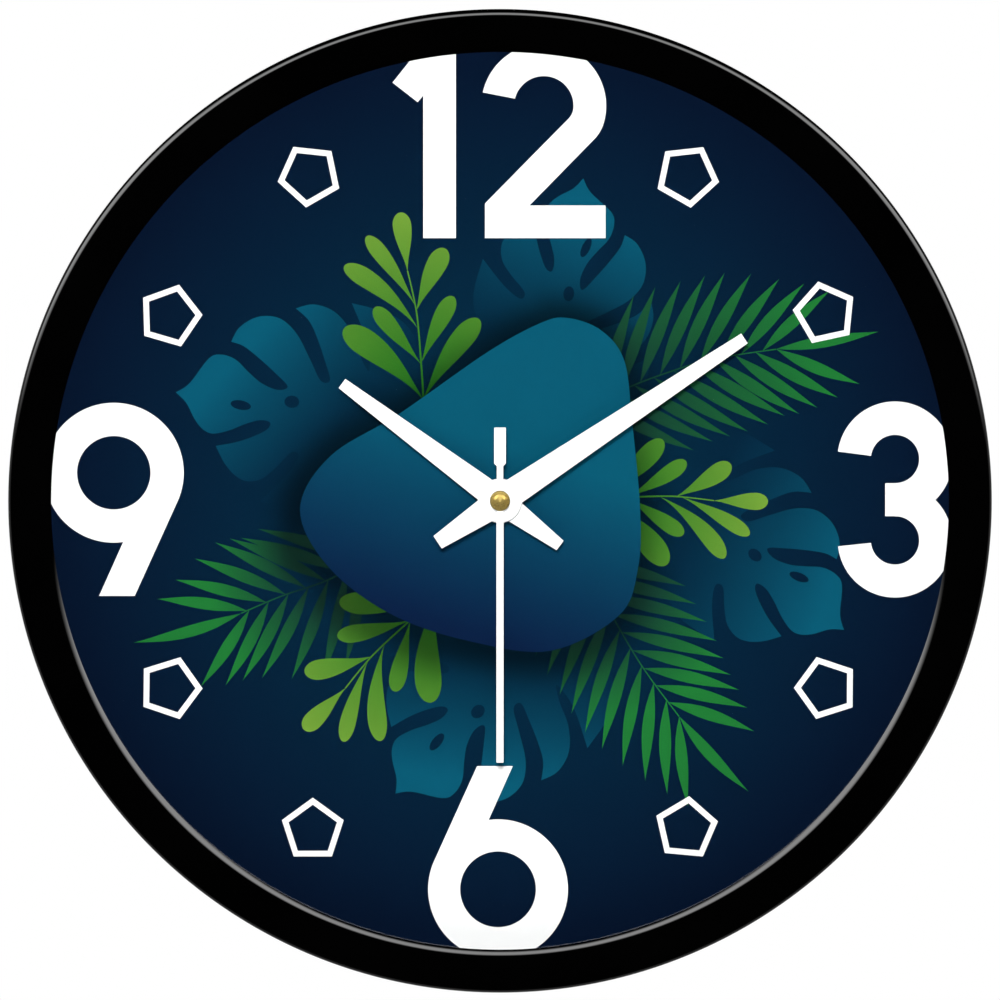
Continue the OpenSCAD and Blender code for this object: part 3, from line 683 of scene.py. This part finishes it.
def metal(name, dark, light, rough, stretch=(1, 1, 1), metallic=1.0):
    """Metal with a drawn or turned grain, stretched along the way it was worked."""
    grain, grain_depth = 1500, 4e-6
    material, tree, shader = new_material(name)
    shader.inputs["Metallic"].default_value = metallic
    where = tree.nodes.new("ShaderNodeTexCoord")
    mapping = tree.nodes.new("ShaderNodeMapping")
    mapping.inputs["Scale"].default_value = stretch
    tree.links.new(where.outputs["Object"], mapping.inputs["Vector"])
    tex = tree.nodes.new("ShaderNodeTexNoise")
    tex.inputs["Scale"].default_value = grain
    tex.inputs["Detail"].default_value = 3
    tree.links.new(mapping.outputs["Vector"], tex.inputs["Vector"])
    cloud = noise(tree, 220, 3)
    two_tone(tree, shader, cloud.outputs["Fac"], dark, light)
    tree.links.new(ranged(tree, tex.outputs["Fac"], rough[0], rough[1]), shader.inputs["Roughness"])
    add_bump(tree, shader, tex.outputs["Fac"], 0.25, grain_depth)
    return material


def frame_gloss():
    """Polished black lacquer on the frame."""
    material, tree, shader = new_material("frame_gloss_black")
    shader.inputs["Specular IOR Level"].default_value = 1.0
    cloud = noise(tree, 35, 3)
    two_tone(tree, shader, cloud.outputs["Fac"], (0.0002, 0.0002, 0.0002), (0.0004, 0.0004, 0.0004))
    tree.links.new(ranged(tree, cloud.outputs["Fac"], 0.035, 0.07), shader.inputs["Roughness"])
    return material


def lip_matt():
    """The frame's unpolished inside, down the hole for the glass and behind it."""
    material, tree, shader = new_material("frame_inside")
    shader.inputs["Specular IOR Level"].default_value = 0.05
    grain = noise(tree, 900, 3)
    two_tone(tree, shader, grain.outputs["Fac"], (0.0006, 0.0006, 0.0006), (0.0014, 0.0014, 0.0014))
    shader.inputs["Roughness"].default_value = 0.8
    return material


def clear_glass():
    """Thin clear pane: light and shadow pass straight through, and the surface reflects by Fresnel.

    Light is not bent inside it, so a ray leaving a face meets the same index as one entering it.
    """
    index = 1.45
    material = bpy.data.materials.new("clear_glass")
    material.use_nodes = True
    tree = material.node_tree
    tree.nodes.remove(tree.nodes["Principled BSDF"])
    clear = tree.nodes.new("ShaderNodeBsdfTransparent")
    clear.inputs["Color"].default_value = (0.995, 0.998, 0.997, 1)
    gloss = tree.nodes.new("ShaderNodeBsdfGlossy")
    gloss.inputs["Roughness"].default_value = 0.02
    gloss.inputs["Color"].default_value = (1, 1, 1, 1)
    fresnel = tree.nodes.new("ShaderNodeFresnel")
    side = tree.nodes.new("ShaderNodeNewGeometry")
    leaving_or_entering = ranged(tree, side.outputs["Backfacing"], index, 1 / index)
    tree.links.new(leaving_or_entering, fresnel.inputs["IOR"])
    both = tree.nodes.new("ShaderNodeMixShader")
    tree.links.new(fresnel.outputs["Fac"], both.inputs["Fac"])
    tree.links.new(clear.outputs["BSDF"], both.inputs[1])
    tree.links.new(gloss.outputs["BSDF"], both.inputs[2])
    tree.links.new(both.outputs["Shader"], tree.nodes["Material Output"].inputs["Surface"])
    return material


def printed_ink():
    """Offset print under a satin varnish: the mesh's own ink colours, with paper tooth."""
    material, tree, shader = new_material("dial_print")
    ink = tree.nodes.new("ShaderNodeVertexColor")
    ink.layer_name = "ink"
    cloud = noise(tree, 90, 4)
    shade = tree.nodes.new("ShaderNodeMix")
    shade.data_type = "RGBA"
    shade.blend_type = "MULTIPLY"
    shade.inputs["Factor"].default_value = 1.0
    grey = tree.nodes.new("ShaderNodeCombineColor")
    level = ranged(tree, cloud.outputs["Fac"], 0.975, 1.02)
    for channel in ("Red", "Green", "Blue"):
        tree.links.new(level, grey.inputs[channel])
    tree.links.new(ink.outputs["Color"], shade.inputs[6])
    tree.links.new(grey.outputs["Color"], shade.inputs[7])
    tree.links.new(shade.outputs[2], shader.inputs["Base Color"])
    shader.inputs["Specular IOR Level"].default_value = 0.0
    tree.links.new(ranged(tree, cloud.outputs["Fac"], 0.6, 0.7), shader.inputs["Roughness"])
    tooth = noise(tree, 3200, 2)
    add_bump(tree, shader, tooth.outputs["Fac"], 0.15, 6e-6)
    return material


def cell_wrap():
    """Dry cell along X: a shrunk sleeve in two plain colours, and bare steel at both ends."""
    material, tree, shader = new_material("cell_wrap")
    low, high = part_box("battery")
    where = tree.nodes.new("ShaderNodeTexCoord")
    split = tree.nodes.new("ShaderNodeSeparateXYZ")
    tree.links.new(where.outputs["Object"], split.inputs["Vector"])
    along = tree.nodes.new("ShaderNodeMapRange")
    along.inputs["From Min"].default_value = low.x
    along.inputs["From Max"].default_value = high.x
    tree.links.new(split.outputs["X"], along.inputs["Value"])
    colours = tree.nodes.new("ShaderNodeValToRGB")
    colours.color_ramp.interpolation = "CONSTANT"
    bare = (0.55, 0.56, 0.58, 1)
    stops = [(0.0, bare), (0.012, (0.02, 0.05, 0.045, 1)), (0.7, (0.55, 0.3, 0.08, 1)), (0.96, bare)]
    metallic = tree.nodes.new("ShaderNodeValToRGB")
    metallic.color_ramp.interpolation = "CONSTANT"
    for k, (place, colour) in enumerate(stops):
        for ramp in (colours.color_ramp, metallic.color_ramp):
            if k > 1:
                ramp.elements.new(place)
            ramp.elements[k].position = place
        colours.color_ramp.elements[k].color = colour
        steel_here = 1.0 if colour is bare else (0.65 if k == 2 else 0.1)
        metallic.color_ramp.elements[k].color = (steel_here, steel_here, steel_here, 1)
    tree.links.new(along.outputs["Result"], colours.inputs["Fac"])
    tree.links.new(along.outputs["Result"], metallic.inputs["Fac"])
    tree.links.new(colours.outputs["Color"], shader.inputs["Base Color"])
    tree.links.new(metallic.outputs["Color"], shader.inputs["Metallic"])
    scuff = noise(tree, 300, 4)
    tree.links.new(ranged(tree, scuff.outputs["Fac"], 0.22, 0.4), shader.inputs["Roughness"])
    add_bump(tree, shader, scuff.outputs["Fac"], 0.1, 2e-5)
    return material


def card_edge():
    """Uncoated card, seen only at the dial's rim and at its back."""
    material, tree, shader = new_material("dial_card")
    fibres = noise(tree, 1400, 5, 0.6)
    two_tone(tree, shader, fibres.outputs["Fac"], (0.6, 0.6, 0.57), (0.74, 0.74, 0.71))
    shader.inputs["Roughness"].default_value = 0.85
    add_bump(tree, shader, fibres.outputs["Fac"], 0.3, 2e-5)
    return material


materials = {
    "frame_gloss_black": frame_gloss(),
    "clear_glass": clear_glass(),
    "case_black": plastic("case_black", (0.014, 0.014, 0.015), (0.0175, 0.0175, 0.0185),
                          (0.48, 0.58), 2600, 3e-5),
    "movement_black": plastic("movement_black", (0.01, 0.01, 0.011), (0.016, 0.016, 0.018),
                              (0.38, 0.5), 3400, 2e-5),
    "plate_resin": plastic("plate_resin", (0.28, 0.3, 0.33), (0.36, 0.38, 0.41),
                           (0.4, 0.52), 2600, 1e-5),
    "gear_resin": plastic("gear_resin", (0.72, 0.71, 0.64), (0.82, 0.81, 0.75),
                          (0.4, 0.5), 2600, 8e-6),
    "dial_print": printed_ink(),
    "hand_white": plastic("hand_white", (0.9, 0.9, 0.895), (0.92, 0.92, 0.915),
                          (0.42, 0.52), 5200, 3e-6, specular=0.2),
    "brass": metal("brass", (0.56, 0.38, 0.09), (0.76, 0.56, 0.17),
                   (0.22, 0.36), (1, 6, 1), metallic=0.8),
    "steel": metal("steel", (0.5, 0.51, 0.53), (0.66, 0.67, 0.69), (0.26, 0.42), (1, 8, 0.25)),
    "rubber": plastic("rubber", (0.012, 0.012, 0.012), (0.02, 0.02, 0.02), (0.75, 0.9), 1800, 2e-5),
    "board_green": plastic("board_green", (0.015, 0.12, 0.05), (0.03, 0.18, 0.08),
                           (0.28, 0.4), 1800, 1e-5),
    "chip_epoxy": plastic("chip_epoxy", (0.008, 0.008, 0.008), (0.014, 0.014, 0.014),
                          (0.15, 0.25), 900, 1e-5),
    "copper_wire": metal("copper_wire", (0.5, 0.2, 0.08), (0.66, 0.3, 0.13), (0.25, 0.4), (40, 1, 1)),
    "magnet": metal("magnet", (0.16, 0.16, 0.17), (0.24, 0.24, 0.25), (0.5, 0.65)),
    "cell_wrap": cell_wrap(),
}


def dress(obj, material):
    """Gives an object one material."""
    obj.data.materials.clear()
    obj.data.materials.append(material)


for row in frame["record"]["subparts"]:
    dress(nodes[row["node"]], materials[row["material_slot"]])
dress(nodes["dial"], card_edge())


# ---------------------------------------------------------------- pieces

def frame_profile():
    """Section of the frame: side wall, rounded front edge, flat front, rolled edge at the glass."""
    low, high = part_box("bezel")
    rim_r = high.x / MM
    depth = -low.y / MM
    lip_r = radii_of("bezel")[0] / MM
    skirt_r = rim_r - 2.8
    edge_r = 2.0
    lip_back = depth - 5
    points = [(skirt_r, 0.0), (rim_r - 0.4, 0.0), (rim_r, 0.4), (rim_r, depth - edge_r - 0.2)]
    for i in range(17):
        a = math.radians(90 * i / 16)
        points.append((rim_r - edge_r + edge_r * math.cos(a), depth - edge_r + edge_r * math.sin(a)))
    roll_r, roll_end = 3.3, math.radians(40)
    inward_of_cad = 0.25
    flat_end = lip_r - inward_of_cad + roll_r * math.sin(roll_end)
    points += [(rim_r - edge_r - 0.15, depth), (flat_end + 0.15, depth)]
    for i in range(17):
        a = roll_end * i / 16
        points.append((flat_end - roll_r * math.sin(a), depth - roll_r * (1 - math.cos(a))))
    points += [(lip_r + 0.45, lip_back), (skirt_r, lip_back)]
    return points


section = frame_profile()
ring = lathe("frame_ring", section, steps=360, second=range(len(section) - 3, len(section)))
dress(ring, materials["frame_gloss_black"])
ring.data.materials.append(lip_matt())
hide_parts("bezel")
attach(ring, "case")

# The light reaches the dial's rim, with no shadow of the frame or of the ring on it.
ring.visible_shadow = False
nodes["dial_spacer_ring"].visible_shadow = False

for piece in build_print():
    dress(piece, materials["dial_print"])
    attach(piece, "case")

for name in ("hour_hand", "minute_hand", "second_hand"):
    soften_edges(name, 0.12)
for name in ("hanger_plate", "movement_housing", "movement_cover", "setting_knob"):
    soften_edges(name, 0.25)
for name in ("rear_case", "case_screws", "hanger_screws", "mounting_nut", "nut_washer"):
    soften_edges(name, 0.15)


# ---------------------------------------------------------------- camera, light and stage

def make_camera():
    """Long lens straight in front. half_width is what it sees each side of the middle, at the rim."""
    data = bpy.data.cameras.new("camera")
    data.lens = 600
    data.sensor_width = 36
    data.clip_end = 100
    half_width = 0.1525
    widest_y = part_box("bezel")[0].y + 0.0022
    away = half_width * data.lens / (data.sensor_width / 2)
    cam = bpy.data.objects.new("camera", data)
    cam.location = (0, widest_y - away, 0.00025)
    cam.rotation_euler = (math.radians(90), 0, 0)
    bpy.context.scene.collection.objects.link(cam)
    bpy.context.scene.camera = cam


def area_light(name, where, size, power):
    """Square lamp aimed at the middle of the clock. It lights the pieces, and no gloss mirrors it."""
    data = bpy.data.lights.new(name, "AREA")
    data.shape = "SQUARE"
    data.size = size
    data.energy = power
    lamp = bpy.data.objects.new(name, data)
    lamp.location = where
    lamp.rotation_euler = (-Vector(where)).to_track_quat("-Z", "Y").to_euler()
    lamp.visible_camera = False
    lamp.visible_glossy = False
    bpy.context.scene.collection.objects.link(lamp)


def make_world():
    """White to the camera, an even fill for matt surfaces, and two soft strips for gloss to mirror."""
    strip_strength, fill_strength = 2.9, 0.25
    world = bpy.data.worlds.new("studio")
    world.use_nodes = True
    bpy.context.scene.world = world
    tree = world.node_tree
    tree.nodes.clear()

    def ramp(source, low, high):
        node = tree.nodes.new("ShaderNodeMapRange")
        node.interpolation_type = "SMOOTHSTEP"
        node.inputs["From Min"].default_value = low
        node.inputs["From Max"].default_value = high
        tree.links.new(source, node.inputs["Value"])
        return node.outputs["Result"]

    def combine(operation, a, b):
        node = tree.nodes.new("ShaderNodeMath")
        node.operation = operation
        for k, value in enumerate((a, b)):
            if isinstance(value, (int, float)):
                node.inputs[k].default_value = value
            else:
                tree.links.new(value, node.inputs[k])
        return node.outputs["Value"]

    where = tree.nodes.new("ShaderNodeTexCoord")
    split = tree.nodes.new("ShaderNodeSeparateXYZ")
    tree.links.new(where.outputs["Generated"], split.inputs["Vector"])
    # A direction's y is -1 towards the camera's side, and its z is the sine of its height.
    y, z = split.outputs["Y"], split.outputs["Z"]
    front_strip = combine("MULTIPLY", combine("MULTIPLY", ramp(z, 0.1, 0.4), ramp(z, 0.86, 0.6)),
                          ramp(y, 0.0, -0.3))
    low_glow = combine("MULTIPLY", ramp(z, 0.6, 0.2), ramp(y, -0.35, 0.3))
    mirrored = combine("ADD", combine("MULTIPLY", front_strip, strip_strength),
                       combine("MULTIPLY", low_glow, fill_strength))
    path = tree.nodes.new("ShaderNodeLightPath")
    from_camera, from_gloss = path.outputs["Is Camera Ray"], path.outputs["Is Glossy Ray"]
    glossy = combine("MULTIPLY", from_gloss, mirrored)
    plain = combine("MULTIPLY", combine("SUBTRACT", 1.0, from_gloss), fill_strength)
    unseen = combine("MULTIPLY", combine("ADD", glossy, plain), combine("SUBTRACT", 1.0, from_camera))
    strength = combine("ADD", unseen, from_camera)
    background = tree.nodes.new("ShaderNodeBackground")
    background.inputs["Color"].default_value = (1, 1, 1, 1)
    tree.links.new(strength, background.inputs["Strength"])
    output = tree.nodes.new("ShaderNodeOutputWorld")
    tree.links.new(background.outputs["Background"], output.inputs["Surface"])


def make_floor():
    """Pale round floor, well below a clock that hangs on a wall."""
    bpy.ops.mesh.primitive_circle_add(vertices=96, radius=3, fill_type="NGON", location=(0, 0, -0.75))
    floor = bpy.context.object
    floor.name = "floor"
    material, tree, shader = new_material("floor_pale")
    cloud = noise(tree, 4, 3)
    two_tone(tree, shader, cloud.outputs["Fac"], (0.78, 0.78, 0.78), (0.82, 0.82, 0.82))
    shader.inputs["Roughness"].default_value = 0.8
    dress(floor, material)
    floor.visible_glossy = False


make_camera()
make_world()
make_floor()
area_light("key", (-0.1, -3.0, 0.6), 0.42, 100)
area_light("back_left", (-2.0, 2.2, 1.6), 1.2, 70)
area_light("back_right", (2.4, 1.8, 0.8), 1.2, 40)
area_light("above", (0.0, 0.6, 2.4), 1.4, 30)

view = bpy.context.scene.view_settings
view.view_transform = "Standard"
view.look = "None"
view.exposure = 0
view.gamma = 1
